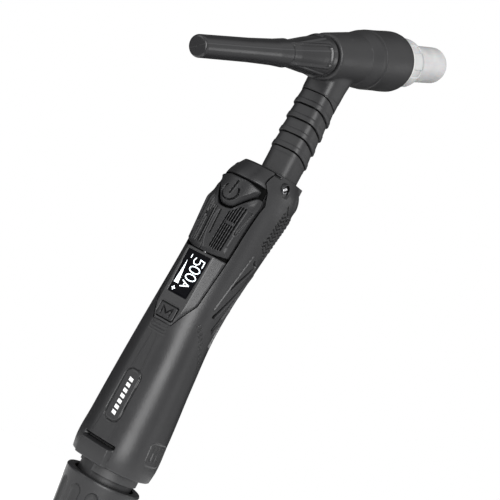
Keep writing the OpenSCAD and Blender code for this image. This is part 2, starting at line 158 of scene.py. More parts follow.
def faceted(x, y, level):
    """Y cut back to the flat facet on the lower handle, with a crisp left edge and a soft right one."""
    facet = curved_depth(6.4 - 0.015 * level, level) - 3 * ramp(level, 62, 83)
    soft = (0.25 + 0.9 * ramp(x, 2, 9)) * (1 - ramp(level, 56, 80)) + 0.01
    return 0.5 * (y + facet + np.sqrt((y - facet) ** 2 + soft ** 2))


def front_depth(x, level):
    """Y of the handle's front face."""
    return faceted(x, curved_depth(x, level), level)


def edge_at(edge, level):
    """Half width of a mirrored outline at a level."""
    widths, levels = np.array(edge, float).T
    return np.interp(level, levels, widths)


def rounded(path, radius, closed=True, steps=5):
    """The path with its corners rounded."""
    points = []
    count = len(path)
    for i, corner in enumerate(path):
        if not closed and i in (0, count - 1):
            points.append(tuple(corner))
            continue
        corner = np.array(corner, float)
        before = np.array(path[i - 1], float) - corner
        after = np.array(path[(i + 1) % count], float) - corner
        room = min(radius, 0.45 * np.hypot(*before), 0.45 * np.hypot(*after))
        start = corner + before / np.hypot(*before) * room
        end = corner + after / np.hypot(*after) * room
        for t in np.linspace(0, 1, steps):
            points.append(tuple((1 - t) ** 2 * start + 2 * t * (1 - t) * corner + t * t * end))
    return points


def divided(path, step, closed=True):
    """The path with points no further apart than step."""
    points = []
    ends = path[1:] + path[:1] if closed else path[1:]
    for start, end in zip(path, ends):
        count = max(1, math.ceil(math.dist(start, end) / step))
        for k in range(count):
            points.append(tuple(np.array(start) + (np.array(end) - start) * k / count))
    return points if closed else points + [path[-1]]


def mirrored(edge):
    """Closed outline from its right half, drawn upwards."""
    return list(edge) + [(-x, level) for x, level in reversed(edge)]


def inside(a, b, outline):
    """Which of the points (a, b) lie inside a closed outline."""
    hit = np.zeros(len(a), bool)
    for (x0, y0), (x1, y1) in zip(outline, outline[1:] + outline[:1]):
        if y0 != y1:
            crosses = (y0 > b) != (y1 > b)
            hit ^= crosses & (a < (x1 - x0) * (b - y0) / (y1 - y0) + x0)
    return hit


# ---------- pieces ----------

def piece(name, points, faces, body, material, stands_for=(), axes=upright, sharp=38):
    """A mesh in the frame, riding on a body."""
    mesh = bpy.data.meshes.new(name)
    corners = faces.tolist() if isinstance(faces, np.ndarray) else faces
    mesh.from_pydata(np.asarray(points, float).tolist(), [], corners)
    mesh.transform(Matrix.Scale(MM, 4) @ axes)
    mesh.polygons.foreach_set("use_smooth", [True] * len(mesh.polygons))
    mesh.set_sharp_from_angle(angle=math.radians(sharp))
    mesh.materials.append(material)
    mesh.update()
    made = bpy.data.objects.new(name, mesh)
    bpy.context.scene.collection.objects.link(made)
    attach(made, body)
    if stands_for:
        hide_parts(*stands_for)
    return made


def grid_faces(rows, columns, closed):
    """Quads between the rows of a grid of points."""
    r, c = np.meshgrid(np.arange(rows - 1), np.arange(columns if closed else columns - 1), indexing="ij")
    d = (c + 1) % columns
    quads = [r * columns + c, r * columns + d, (r + 1) * columns + d, (r + 1) * columns + c]
    return np.stack(quads, -1).reshape(-1, 4)


def turned(name, profile, body, material, stands_for=(), axes=upright, relief=None, soften=0.35,
           segments=160, step=0.6, closed=True):
    """Surface of revolution through (radius, station) points, plus a relief over angle and station."""
    path = divided(rounded(profile, soften, closed), step, closed)
    radius, station = np.array(path).T
    turn = np.arange(segments) * 2 * math.pi / segments
    around, along = np.meshgrid(turn, station)
    size = np.repeat(radius[:, None], segments, 1)
    if relief:
        size = size + relief(around, along, size)
    points = np.stack([size * np.cos(around), size * np.sin(around), along], -1).reshape(-1, 3)
    faces = grid_faces(len(path), segments, True)
    if closed:
        last = (len(path) - 1) * segments
        c = np.arange(segments)
        d = (c + 1) % segments
        faces = np.vstack([faces, np.stack([last + c, last + d, d, c], -1)])
    return piece(name, points, faces, body, material, stands_for, axes)


def plate(name, outline, surface, thickness, body, material, stands_for=(), holes=(),
          spacing=0.4, edge_radius=0.4, sharp=50):
    """A panel on the handle's front, with its outline in x and level.

    surface(x, level, distance) gives its outer points, where distance is how far in from the border they are.
    """
    rings = [divided(ring, spacing) for ring in (outline, *holes)]
    border = [point for ring in rings for point in ring]
    low, high = np.min(outline, 0), np.max(outline, 0)
    a, b = np.meshgrid(np.arange(low[0], high[0], spacing), np.arange(low[1], high[1], spacing))
    a, b = a.ravel(), b.ravel()
    gap = np.min([line_distance(a, b, ring, True) for ring in rings], axis=0)
    keep = inside(a, b, outline) & (gap > spacing * 0.45)
    for hole in holes:
        keep &= ~inside(a, b, list(hole))
    flat = border + list(zip(a[keep], b[keep]))
    edges = []
    start = 0
    for ring in rings:
        edges += [(start + k, start + (k + 1) % len(ring)) for k in range(len(ring))]
        start += len(ring)
    verts, _, faces, *_ = delaunay_2d_cdt([Vector(p) for p in flat], edges, [], 0, 1e-6)
    spots = np.array([tuple(v) for v in verts])
    faces = np.array(faces)
    middle = spots[faces].mean(1)
    keep = inside(middle[:, 0], middle[:, 1], outline)
    for hole in holes:
        keep &= ~inside(middle[:, 0], middle[:, 1], list(hole))
    faces = faces[keep]
    x, level = spots.T
    distance = np.min([line_distance(x, level, ring, True) for ring in rings], axis=0)
    drop = np.where(distance < edge_radius,
                    edge_radius - np.sqrt(np.clip(edge_radius ** 2 - (edge_radius - distance) ** 2, 0,
                                                  None)), 0)
    outer = surface(x, level, distance)
    nx, ny = grip_normal(x, outer[:, 1], level)
    outer = outer - np.stack([nx, ny, 0 * nx], -1) * drop[:, None]
    inner = outer + np.array([0, thickness, 0])
    count = len(spots)
    walls = []
    start = 0
    for ring in rings:
        for k in range(len(ring)):
            p, q = start + k, start + (k + 1) % len(ring)
            walls.append((p, q, q + count, p + count))
        start += len(ring)
    points = np.vstack([outer, inner])
    shell = faces.tolist() + [list(f[::-1] + count) for f in faces] + walls
    return piece(name, points, shell, body, material, stands_for, sharp=sharp)


def on_grip(x, level, raised):
    """Points on the handle's front, raised along its normal."""
    y = front_depth(x, level)
    nx, ny = grip_normal(x, y, level)
    return np.stack([x + nx * raised, y + ny * raised, level + handle_base], -1)


# ---------- materials ----------

def finish(name, base, other, roughness, grain=0.5, bump=0.15, patch=12, metallic=0.0, coat=0.0, wear=0.0,
           stretch=(1, 1, 1), glow=0.0, specular=0.5, subsurface=0.0, painted_gap_shade=0.0):
    """Procedural material: two colours in soft patches, fine grain, uneven roughness and worn edges.

    Sizes are in millimetres. Gaps narrower than the painted-shade size get painted shade: a darker base
    colour and weaker reflection there.
    """
    made = bpy.data.materials.new(name)
    made.use_nodes = True
    nodes, links = made.node_tree.nodes, made.node_tree.links
    shader = nodes["Principled BSDF"]
    shader.inputs["Metallic"].default_value = metallic
    shader.inputs["Coat Weight"].default_value = coat
    shader.inputs["Coat Roughness"].default_value = 0.12
    shader.inputs["Specular IOR Level"].default_value = specular
    shader.inputs["Subsurface Weight"].default_value = subsurface
    shader.inputs["Subsurface Scale"].default_value = 0.002
    place = nodes.new("ShaderNodeTexCoord")
    scale = nodes.new("ShaderNodeMapping")
    scale.inputs["Scale"].default_value = stretch
    links.new(place.outputs["Object"], scale.inputs["Vector"])

    def noise(size, detail):
        made_noise = nodes.new("ShaderNodeTexNoise")
        made_noise.inputs["Scale"].default_value = 1 / (size * MM)
        made_noise.inputs["Detail"].default_value = detail
        links.new(scale.outputs["Vector"], made_noise.inputs["Vector"])
        return made_noise.outputs["Fac"]

    def spread(factor, low, high, from_low=0.3, from_high=0.7):
        made_range = nodes.new("ShaderNodeMapRange")
        made_range.inputs["From Min"].default_value = from_low
        made_range.inputs["From Max"].default_value = from_high
        made_range.inputs["To Min"].default_value = low
        made_range.inputs["To Max"].default_value = high
        links.new(factor, made_range.inputs["Value"])
        return made_range.outputs["Result"]

    def blend(factor, first, second):
        made_mix = nodes.new("ShaderNodeMix")
        made_mix.data_type = "RGBA"
        links.new(factor, made_mix.inputs["Factor"])
        for socket, value in ((made_mix.inputs[6], first), (made_mix.inputs[7], second)):
            if isinstance(value, tuple):
                socket.default_value = (*value, 1)
            else:
                links.new(value, socket)
        return made_mix.outputs[2]

    patches = noise(patch, 3)
    fine = noise(grain, 4)
    colour = blend(spread(patches, 0, 1), base, other)
    if wear:
        geometry = nodes.new("ShaderNodeNewGeometry")
        rubbed = spread(geometry.outputs["Pointiness"], 0, wear, 0.52, 0.62)
        colour = blend(rubbed, colour, tuple(min(1, 2.2 * c + 0.03) for c in base))
    # Painted shade: ambient occlusion darkens the base colour and lowers the specular in narrow gaps and
    # grooves, standing in for the shade that falls there.
    if painted_gap_shade:
        shade = nodes.new("ShaderNodeAmbientOcclusion")
        shade.samples = 6
        shade.inputs["Distance"].default_value = painted_gap_shade * MM
        open_share = spread(shade.outputs["AO"], 0, 1, 0.45, 0.85)
        colour = blend(open_share, tuple(0.15 * c for c in base), colour)
        links.new(spread(shade.outputs["AO"], 0.03, specular, 0.45, 0.85),
                  shader.inputs["Specular IOR Level"])
    links.new(colour, shader.inputs["Base Color"])
    low, high = roughness
    links.new(spread(patches, low, high), shader.inputs["Roughness"])
    relief = nodes.new("ShaderNodeBump")
    relief.inputs["Strength"].default_value = bump
    relief.inputs["Distance"].default_value = grain * MM * 0.5
    links.new(fine, relief.inputs["Height"])
    links.new(relief.outputs["Normal"], shader.inputs["Normal"])
    if glow:
        shader.inputs["Emission Strength"].default_value = glow
        links.new(colour, shader.inputs["Emission Color"])
    return made


# The plastics and the neck rubber below get painted shade in gaps narrower than 1.6 mm.
shell_plastic = finish("moulded_charcoal", (0.015, 0.015, 0.016), (0.019, 0.019, 0.020), (0.31, 0.38),
                       grain=0.35, bump=0.25, patch=25, wear=0.5, specular=0.45, painted_gap_shade=1.6)
button_plastic = finish("button_charcoal", (0.014, 0.014, 0.015), (0.018, 0.018, 0.019), (0.34, 0.42),
                        grain=0.3, bump=0.2, patch=14, wear=0.6, specular=0.34, painted_gap_shade=1.6)
head_plastic = finish("head_charcoal", (0.016, 0.016, 0.017), (0.021, 0.021, 0.022), (0.38, 0.48), grain=0.4,
                      bump=0.25, patch=14, wear=0.5, specular=0.45, painted_gap_shade=1.6)
phenolic = finish("phenolic_black", (0.012, 0.012, 0.013), (0.016, 0.016, 0.017), (0.22, 0.27), grain=0.5,
                  bump=0.03, patch=30, coat=0.12, wear=0.4, specular=0.42, painted_gap_shade=1.6)
neck_rubber = finish("neck_rubber", (0.016, 0.016, 0.017), (0.021, 0.021, 0.022), (0.40, 0.50), grain=0.4,
                     bump=0.3, patch=10, wear=0.5, specular=0.45, painted_gap_shade=1.6)
soft_rubber = finish("black_rubber", (0.008, 0.008, 0.008), (0.016, 0.016, 0.016), (0.6, 0.8), grain=0.3,
                     bump=0.4, patch=6)
inner_plastic = finish("inner_grey", (0.05, 0.05, 0.052), (0.065, 0.065, 0.068), (0.5, 0.62), grain=0.4,
                       bump=0.2)
white_plastic = finish("ivory_plastic", (0.62, 0.60, 0.52), (0.72, 0.70, 0.62), (0.4, 0.5), grain=0.3,
                       bump=0.1)
alumina = finish("glazed_alumina", (0.48, 0.48, 0.485), (0.54, 0.54, 0.54), (0.30, 0.42), grain=0.25,
                 bump=0.1, patch=5, subsurface=0.1)
gasket_white = finish("white_gasket", (0.55, 0.55, 0.54), (0.68, 0.68, 0.66), (0.5, 0.6), grain=0.3, bump=0.2)
copper = finish("drawn_copper", (0.70, 0.33, 0.20), (0.62, 0.27, 0.16), (0.22, 0.38), grain=0.2, bump=0.1,
                patch=4, metallic=1, stretch=(1, 1, 0.1))
brass = finish("machined_brass", (0.72, 0.52, 0.22), (0.62, 0.44, 0.18), (0.2, 0.34), grain=0.15, bump=0.1,
               patch=3, metallic=1)
steel = finish("zinc_steel", (0.66, 0.66, 0.67), (0.52, 0.52, 0.54), (0.18, 0.34), grain=0.15, bump=0.1,
               patch=1.5, metallic=1)
board_green = finish("board_green", (0.01, 0.10, 0.04), (0.015, 0.14, 0.06), (0.25, 0.4), grain=0.6, bump=0.3,
                     patch=3)
display_glass = finish("display_glass", (0.002, 0.002, 0.003), (0.004, 0.004, 0.005), (0.05, 0.10), grain=4,
                       bump=0.02, patch=8, specular=0.02)
switch_black = finish("switch_black", (0.02, 0.02, 0.02), (0.03, 0.03, 0.03), (0.35, 0.5), grain=0.3,
                      bump=0.2)
display_light = finish("display_light", (0.80, 0.90, 0.95), (0.92, 0.97, 1.0), (0.4, 0.5), grain=0.3,
                       bump=0.05, patch=0.3, glow=0.8)
print_white = finish("printed_white", (0.72, 0.72, 0.72), (0.82, 0.82, 0.82), (0.4, 0.5), grain=0.2,
                     bump=0.15, patch=2)
deep_shadow = finish("shaded_inside", (0.003, 0.003, 0.003), (0.005, 0.005, 0.005), (0.6, 0.7), grain=0.4,
                     bump=0.2, specular=0.05)

by_slot = {"handle_plastic": shell_plastic, "button_plastic": button_plastic, "head_plastic": head_plastic,
           "phenolic": phenolic, "neck_rubber": neck_rubber, "soft_rubber": soft_rubber,
           "inner_plastic": inner_plastic, "white_plastic": white_plastic, "alumina": alumina,
           "gasket_white": gasket_white, "copper": copper, "brass": brass, "steel": steel,
           "board_green": board_green, "display_glass": display_glass, "switch_black": switch_black}


def dress_cad():
    """Gives every carried-over CAD node the finish of its material slot."""
    for entry in frame["record"]["subparts"]:
        node = frame["nodes"][entry["node"]]
        if not node.data.materials:
            node.data.materials.append(None)
        for place in node.material_slots:
            place.material = by_slot[entry["material_slot"]]


# ---------- handle ----------

screw_y, screw_level = 0, 146.9

# Lines on the handle's sides, as (y, level)
ridge_line = [(-1.2, 114.1), (-8.2, 84.6)]
side_grooves = [[(1.8, 111.7), (4.6, 110), (-4.7, 96.5)], [(8.6, 107), (-6.8, 81.4)], [(5.2, 96.5), (-3.5,
                                                                                                     75.7)],
                [(3.7, 87.4), (-2.1, 74.7)], [(2.3, 79), (0.9, 68)]]
chip_line = [(-11.5, 74.5), (-5.7, 66.1), (0, 57.3), (1.4, 53.3)]
grip_patch = [(4.6, 139), (1.8, 131), (1.2, 126), (-1.4, 120), (4.2, 116.5), (8.4, 113), (12, 118), (14, 126),
              (18, 138)]

# Plain frame, as (y, level), in place of the mark on the handle's side
mark_frame = rounded([(5, 9), (5, 19.6), (-7, 19.6), (-7, 9)], 2.2, steps=6)

# Name plate on the front, and the groove round it
name_low, name_high, name_half = 20, 44.5, 4
name_gap = 0.4
name_frame = rounded([(name_half + name_gap, name_low - name_gap), (name_half + name_gap,
                                                                    name_high + name_gap),
                      (-name_half - name_gap, name_high + name_gap), (-name_half - name_gap,
                                                                      name_low - name_gap)], 4.3, steps=8)


def side_relief(y, level, facing):
    """Ridges, grooves and grip pattern on a side of the handle."""
    relief = stroke(y, level, ridge_line, 1.2, 0.5)
    groove_width, groove_depth = 1.7, 1.9
    for path in side_grooves:
        relief += stroke(y, level, path, groove_width, -groove_depth)
        beside = [(a + 1.1, b - 0.7) for a, b in path]
        relief += stroke(y, level, beside, 1.0, 0.25)
    relief += stroke(y, level, [(6.2, 141.2), (10.6, 136)], 1.2, -1.1)
    relief += stroke(y, level, [(-9, 151.1), (-3.5, 150.9)], 1.1, -0.9)
    relief -= 1.0 * (1 - ramp(np.hypot(y - screw_y, level - screw_level), 2.9, 3.3))
    chips = np.sin(level * 3.1) * np.cos(y * 2.3 + level * 1.7) > 0.25
    relief -= 0.28 * chips * (line_distance(y, level, chip_line) < 1.1)
    cell, bar_slope, bar_pitch, bar_height = 2.4, 0.7, 2.0, 0.4
    zigzag = np.abs((y / cell) % 2 - 1) * cell
    bars = np.clip(np.cos(2 * math.pi * (level + bar_slope * zigzag) / bar_pitch) * 1.6, -1, 1)
    flat = inside(y.ravel(), level.ravel(), grip_patch).reshape(y.shape)
    fade = ramp(line_distance(y, level, grip_patch, True), 0, 1.2) * flat
    relief += bar_height * bars * fade
    relief += stroke(y, level, mark_frame, 0.9, 0.35, True)
    for place in (-4.2, -1, 2.2):
        relief += stroke(y, level, [(place, 11.4), (place, 17.2)], 1.4, -0.6)
    return relief * facing


def front_relief(x, level):
    """Catch block with a groove above it, three short grooves, name plate groove and two faint ridges."""
    block_half, block_bevel, block_top, block_height, groove_depth = 8.8, 1.5, 8.4, 2.3, 2.0
    block = np.clip((block_half - np.abs(x)) / block_bevel, 0, 1) * (1 - ramp(level, block_top - 0.25,
                                                                              block_top + 0.25))
    relief = block_height * block
    groove = (1 - ramp(np.abs(x), block_half - 0.6, block_half + 0.6)) * between(level, 8.9, 10.4, 0.2)
    relief = relief - groove_depth * groove
    for high in (67.8, 66.2, 64.6):
        relief += stroke(x, level, [(-4.6, high), (4.2, high)], 0.8, -0.4)
    relief += stroke(x, level, name_frame, 1.0, -0.45, True)
    for side in (-1, 1):
        relief += stroke(x, level, [(side * 5, 12), (side * 1.6, 63)], 0.7, 0.12)
    return relief


def grip_points(levels, share, opening):
    """Grid of points round the handle, starting and ending at the opening in its front."""
    wide, middle, half = section(levels)
    start = -np.arccos(np.clip(opening / wide, 0, 1) ** (section_power / 2))
    turn = start[:, None] + share[None, :] * (math.pi - 2 * start)[:, None]
    power = 2 / section_power
    x = wide[:, None] * np.sign(np.cos(turn)) * np.abs(np.cos(turn)) ** power
    y = middle[:, None] + half[:, None] * np.sign(np.sin(turn)) * np.abs(np.sin(turn)) ** power
    return x, y, np.repeat(levels[:, None], len(share), 1)


def shaped(x, y, level):
    """Handle points moved along their normals by all of its relief."""
    nx, ny = grip_normal(x, y, level)
    facing = ramp(np.abs(nx), 0.25, 0.5)
    relief = side_relief(y, level, facing)
    front = ramp(-ny, 0.3, 0.6)
    relief = relief + front_relief(x, level) * front
    relief = relief + 0.5 * ramp(y, 11, 15) * between(level, 141, 150, 2.0) * facing
    return x + nx * relief, np.where(ny < 0, faceted(x, y, level), y) + ny * relief


def handle_shell():
    """The handle as one skin: closed all round below the cover, open in front beside it."""
    columns = 380
    share = np.linspace(0, 1, columns)
    low_levels = np.arange(0, cover_low + 0.2, 0.4)
    low_levels[-1] = cover_low
    high_levels = np.linspace(cover_low, handle_length, 210)
    x, y, level = grip_points(low_levels, share[:-1], low_levels * 0)
    x, y = shaped(x, y, level)
    rows = np.stack([x, y, level + handle_base], -1)
    centre = np.array([0, -0.7, handle_base])
    # Rings of the lower end, from inside its hole outwards, as (share of the outline, lift)
    rim = []
    for keep, lift in ((0.74, 3.0), (0.80, 0.02), (0.97, 0.0), (0.985, 0.1)):
        ring = centre + (rows[0] - centre) * keep
        ring[:, 2] = handle_base + lift
        rim.append(ring)
    rows[0, :, 2] += 0.5
    lower = np.vstack([np.array(rim).reshape(-1, 3), rows.reshape(-1, 3)])
    lower_faces = grid_faces(len(rim) + len(low_levels), columns - 1, True)

    x, y, level = grip_points(high_levels, share, edge_at(cover_edge, high_levels) + 0.2)
    x, y = shaped(x, y, level)
    grid = np.stack([x, y, level + handle_base], -1)
    # Edges of the opening, turned inwards
    walls = []
    for depth in (2.6, 0.5, 0.15):
        wall = grid[:, [0, -1]].copy()
        wall[:, :, 1] += depth
        wall[:, :, 0] *= 1 - 0.002 * (0.5 - min(depth, 0.5))
        walls.append(wall)
    grid = np.concatenate([*[w[:, :1] for w in walls], grid, *[w[:, 1:] for w in reversed(walls)]], 1)
    upper_faces = grid_faces(grid.shape[0], grid.shape[1], False) + len(lower)
    points = np.vstack([lower, grid.reshape(-1, 3)])
    faces = np.vstack([lower_faces, upper_faces])
    piece("handle_shell", points, faces, "torch", shell_plastic, ["handle_body"])


def handle_crown():
    """Rounded top of the handle round the neck."""
    columns = 240
    turn = np.linspace(0, 2 * math.pi, columns, endpoint=False)
    power = 2 / section_power
    top = handle_length
    wide, middle, half = section(np.array([top]))
    x = wide * np.sign(np.cos(turn)) * np.abs(np.cos(turn)) ** power
    y = middle + half * np.sign(np.sin(turn)) * np.abs(np.sin(turn)) ** power
    neck = neck_half + 0.9
    corner = neck * 0.99
    nx = np.clip(x * 1.3, -corner, corner)
    ny = neck_offset + np.clip((y - neck_offset) * 1.3, -corner, corner)
    ny = np.where(y > neck_offset, np.minimum(ny, neck_offset + neck), np.maximum(ny, neck_offset - neck))
    rings = []
    for share, lift in ((0, -0.05), (0.06, 0.28), (0.2, 0.5), (0.6, 0.7), (0.94, 0.72), (0.99, 0.5), (1,
                                                                                                      -2.5)):
        rings.append(np.stack([x + (nx - x) * share, y + (ny - y) * share,
                               np.full(columns, handle_base + top + lift)], -1))
    piece("handle_crown", np.vstack(rings), grid_faces(len(rings), columns, True), "torch", shell_plastic)


def panel_depth(x, level):
    """Y of the cover's lower panel: flat round the display, with a sloped band down to its edge."""
    edge = edge_at(cover_edge, level)
    flat = np.minimum(flat_half, edge - 1.2)
    top = front_depth(0 * x, level) + 0.1
    outer = front_depth(edge, level)
    away = np.clip((np.abs(x) - flat) / (edge - flat), 0, 1)
    bend = 0.12
    away = np.where(away < bend, away ** 2 / (2 * bend), away - bend / 2) / (1 - bend / 2)
    return top + (outer - top) * away


def panel_surface(x, level, distance):
    return np.stack([x, panel_depth(x, level), level + handle_base], -1)


def deck_surface(x, level, distance):
    """Dark floor under the controls, kept in front of the circuit board."""
    points = on_grip(x, level, -3.6)
    points[..., 1] = np.minimum(points[..., 1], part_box("circuit_board")[0].y / MM - 0.35)
    return points


def front_cover():
    """Cover in two visible parts: the panel with the display, and the roof above the trigger."""
    display_gap, mode_gap = 0.05, 0.25
    right = [(wide, level) for wide, level in cover_edge if level < panel_high]
    right.append((float(edge_at(cover_edge, panel_high)), panel_high))
    outline = rounded(mirrored(right), 0.5)
    display_hole = rounded(mirrored([(wide + display_gap, level) for wide, level in display_edge]), 0.3)
    (low_wide, low), (high_wide, high) = mode_edge
    mode_right = [(low_wide + mode_gap, low - mode_gap), (high_wide + mode_gap, high + mode_gap)]
    mode_hole = rounded(mirrored(mode_right), 1.1)
    plate("cover_panel", outline, panel_surface, 2.2, "torch", shell_plastic,
          ["front_cover"], [display_hole, mode_hole])
    roof = [(11.9, roof_low), (10.05, 145.5), (9.25, 152)]
    plate("cover_roof", rounded(mirrored(roof), 0.5), lambda x, level, d: on_grip(x, level, 0), 2.2, "torch",
          shell_plastic)
    deck = mirrored([(13.6, 102), (14, 106), (15.2, 135), (15.2, 142), (13.4, 146)])
    plate("cover_deck", deck, deck_surface, 0.8, "torch", deep_shadow, spacing=1.2,
          edge_radius=0.2)


def display():
    """Dark window with a lit reading, a wedge and its two signs."""
    outline = rounded(mirrored([(wide - 0.05, level) for wide, level in display_edge]), 0.35)
    plate("display_glass", outline, lambda x, level, d: np.stack([x, panel_depth(x, level) + 0.12,
                                                                  level + handle_base], -1), 1.2, "torch",
          display_glass, ["display_window"], spacing=0.8, edge_radius=0.15)
    strokes = []
    digit_low, digit_high, digit_wide = -0.6, 5.1, 2.9

    def letter(start, paths, height=1.0):
        for path in paths:
            strokes.append([(digit_low + (digit_high - digit_low) * v * height, start - digit_wide * u)
                            for u, v in path])

    letter(101.3, [[(1, 1), (0.1, 1), (0, 0.55), (0.6, 0.62), (1, 0.4), (0.9, 0.1), (0.5, 0), (0, 0.1)]])
    ring = [(0.5 + 0.5 * math.cos(t), 0.5 + 0.5 * math.sin(t)) for t in np.linspace(0, 2 * math.pi, 21)]
    letter(97.5, [ring])
    letter(93.7, [ring])
    letter(89.8, [[(0, 0), (0.5, 1), (1, 0)], [(0.2, 0.35), (0.8, 0.35)]], 0.72)
    strokes.append([(-2.7, 101.9), (-2.7, 100.5)])
    strokes.append([(-4.0, 84.8), (-2.4, 84.8)])
    strokes.append([(-3.2, 85.6), (-3.2, 84.0)])
    points, faces = [], []
    stroke_half = 0.25
    for path in strokes:
        ribbon(path, stroke_half, points, faces)
    wedge = [(-3.85, 98.8), (-3.75, 98.8), (-2.1, 87.4), (-4.6, 87.4)]
    start = len(points)
    points += wedge
    faces.append([start + 3, start + 2, start + 1, start])
    flat = np.array(points)
    x, level = flat.T
    lifted = np.stack([x, panel_depth(x, level) + 0.06, level + handle_base], -1)
    piece("display_reading", lifted, faces, "torch", display_light)


def ribbon(path, half, points, faces):
    """Adds a flat stroke with round ends to points and faces: one outline for each straight segment."""
    path = np.array(path, float)
    for (ax, ay), (bx, by) in zip(path, path[1:]):
        length = math.hypot(bx - ax, by - ay)
        ux, uy = (bx - ax) / length, (by - ay) / length
        start = len(points)
        outline = []
        for end_x, end_y, turn in ((bx, by, -90), (ax, ay, 90)):
            for k in range(7):
                angle = math.radians(turn + 30 * k)
                outline.append((end_x + half * (ux * math.cos(angle) - uy * math.sin(angle)),
                                end_y + half * (uy * math.cos(angle) + ux * math.sin(angle))))
        points.extend(outline)
        faces.append(list(range(start + len(outline) - 1, start - 1, -1)))


def rocker():
    """Rocker pad with two sets of fine ribs, plus and minus signs, a middle slot and side channels."""
    rib_low, rib_high, rib_depth = 108.2, 131, 0.8
    rib_start, rib_end, right_pitch, left_pitch, right_lean = 2.2, 8.4, 1.03, 1.24, 0.075
    sign_level, minus_x, plus_x = 121.9, 6.4, -6
    sign_long, sign_short = 1.9, 0.65
    channel_depth = 0.8

    def surface(x, level, distance):
        crowned = front_depth(0 * x, level) + 0.012 * x ** 2
        swell = 0.7 * ramp(distance, 0, 3) * (1 - ramp(level, 128, 134))
        raised = 0.35 * ramp(distance, 0.2, 1.9) + swell * (front_depth(x, level) - crowned)
        across = np.abs(x) - (level - 108) * np.where(x > 0, right_lean, 0)
        rib_step = np.where(x > 0, right_pitch, left_pitch)
        field = between(across, rib_start, rib_end, 0.1) * ramp(distance, 1.1, 1.4)
        field = field * between(level, rib_low + 0.25 * np.abs(across - 5), rib_high, 0.3)
        ribs = 0.5 + 0.5 * np.clip(2.2 * np.cos(2 * math.pi * (across - rib_start) / rib_step) + 0.5, -1, 1)
        minus = (x > 0) & (np.abs(x - minus_x) < 1.7) & (np.abs(level - sign_level) < 0.7)
        star = np.minimum(np.hypot((x - plus_x) / sign_long, (level - sign_level) / sign_short),
                          np.hypot((x - plus_x) / sign_short, (level - sign_level) / sign_long))
        plus = (x < 0) & (star < 1)
        carved = np.where(minus, 0, np.where(plus, -rib_depth, (ribs - 1) * rib_depth))
        raised = raised + carved * field
        raised = raised + stroke(x, level, [(-0.2, 114.5), (-0.2, 125.5)], 1.0, -0.8)
        channel = between(across, 8.9, 9.6 + 0.08 * (level - 117), 0.2) * between(level, 118.2, 130.3, 0.4)
        raised = raised - channel_depth * channel
        raised = raised + 0.3 * between(across, 8.8, 9.6, 0.2) * between(level, 111.8, 117, 0.5)
        raised = raised + stroke(x, level, [(-1.2, 105.5), (-1.2, 109)], 0.6, -0.4)
        return on_grip(x, level, raised)
    plate("rocker_pad", rounded(mirrored(rocker_edge), 0.7), surface, 1.7, "rocker", button_plastic,
          ["control_rocker"], spacing=0.17, edge_radius=0.5, sharp=70)


def trigger():
    """Trigger with a broad bevelled lower rim and an engraved power sign."""
    right_rim = trigger_edge[:5]
    lower_rim = [(-x, level) for x, level in reversed(right_rim)] + right_rim
    ring_radius, ring_level, ring_end = 3.9, 134.9, 128
    ring = [(ring_radius * math.sin(t), ring_level - ring_radius * math.cos(t))
            for t in np.radians(np.linspace(-ring_end, ring_end, 26))]
    sign_width, sign_depth = 1.0, 0.8

    def surface(x, level, distance):
        rim = line_distance(x, level, lower_rim)
        raised = 1.2 - 1.9 * np.clip(1 - (rim - 0.3) / 2.0, 0, 1) + 0.1 * ramp(distance, 0, 1)
        raised = raised + stroke(x, level, ring, sign_width, -sign_depth)
        raised = raised + stroke(x, level, [(0.2, 134.4), (0.9, 140.6)], sign_width, -sign_depth)
        return on_grip(x, level, raised)
    plate("trigger_cap", rounded(mirrored(trigger_edge), 0.8), surface, 1.0, "trigger", button_plastic,
          ["trigger_button"], spacing=0.2, edge_radius=0.4, sharp=28)


def mode_key():
    """Mode key with its engraved letter."""
    letter = [(-2.5, 72.3), (-2.6, 76), (0, 73.2), (2.6, 76), (2.5, 72.3)]

    def surface(x, level, distance):
        raised = 0.25 * ramp(distance, 0, 0.8) + stroke(x, level, letter, 0.75, -0.6)
        return panel_surface(x, level, distance) - np.stack([0 * x, raised, 0 * x], -1)
    plate("mode_key", rounded(mirrored(mode_edge), 1.0), surface, 1.8, "mode", button_plastic,
          ["mode_button"], spacing=0.22, edge_radius=0.35)


def badge():
    """Blank name plate with plain slanted bars."""
    outline = rounded([(name_half, name_low), (name_half, name_high), (-name_half, name_high),
                       (-name_half, name_low)], 4, steps=8)
    plate("name_plate_blank", outline, lambda x, level, d: on_grip(x, level, 0.3), 0.8, "torch",
          shell_plastic, ["name_plate"], spacing=0.5, edge_radius=0.3)
    points, faces = [], []
    first_bar, last_bar, bar_pitch = 22.6, 41, 2.7
    for low in np.arange(first_bar, last_bar, bar_pitch):
        start = len(points)
        points += [(-0.7, low + 0.4), (1.6, low), (1.6, low + 1.7), (-0.7, low + 2.1)]
        faces.append([start + i for i in (3, 2, 1, 0)])
    flat = np.array(points)
    piece("name_plate_bars", on_grip(flat[:, 0], flat[:, 1], 0.36), faces, "torch", print_white)


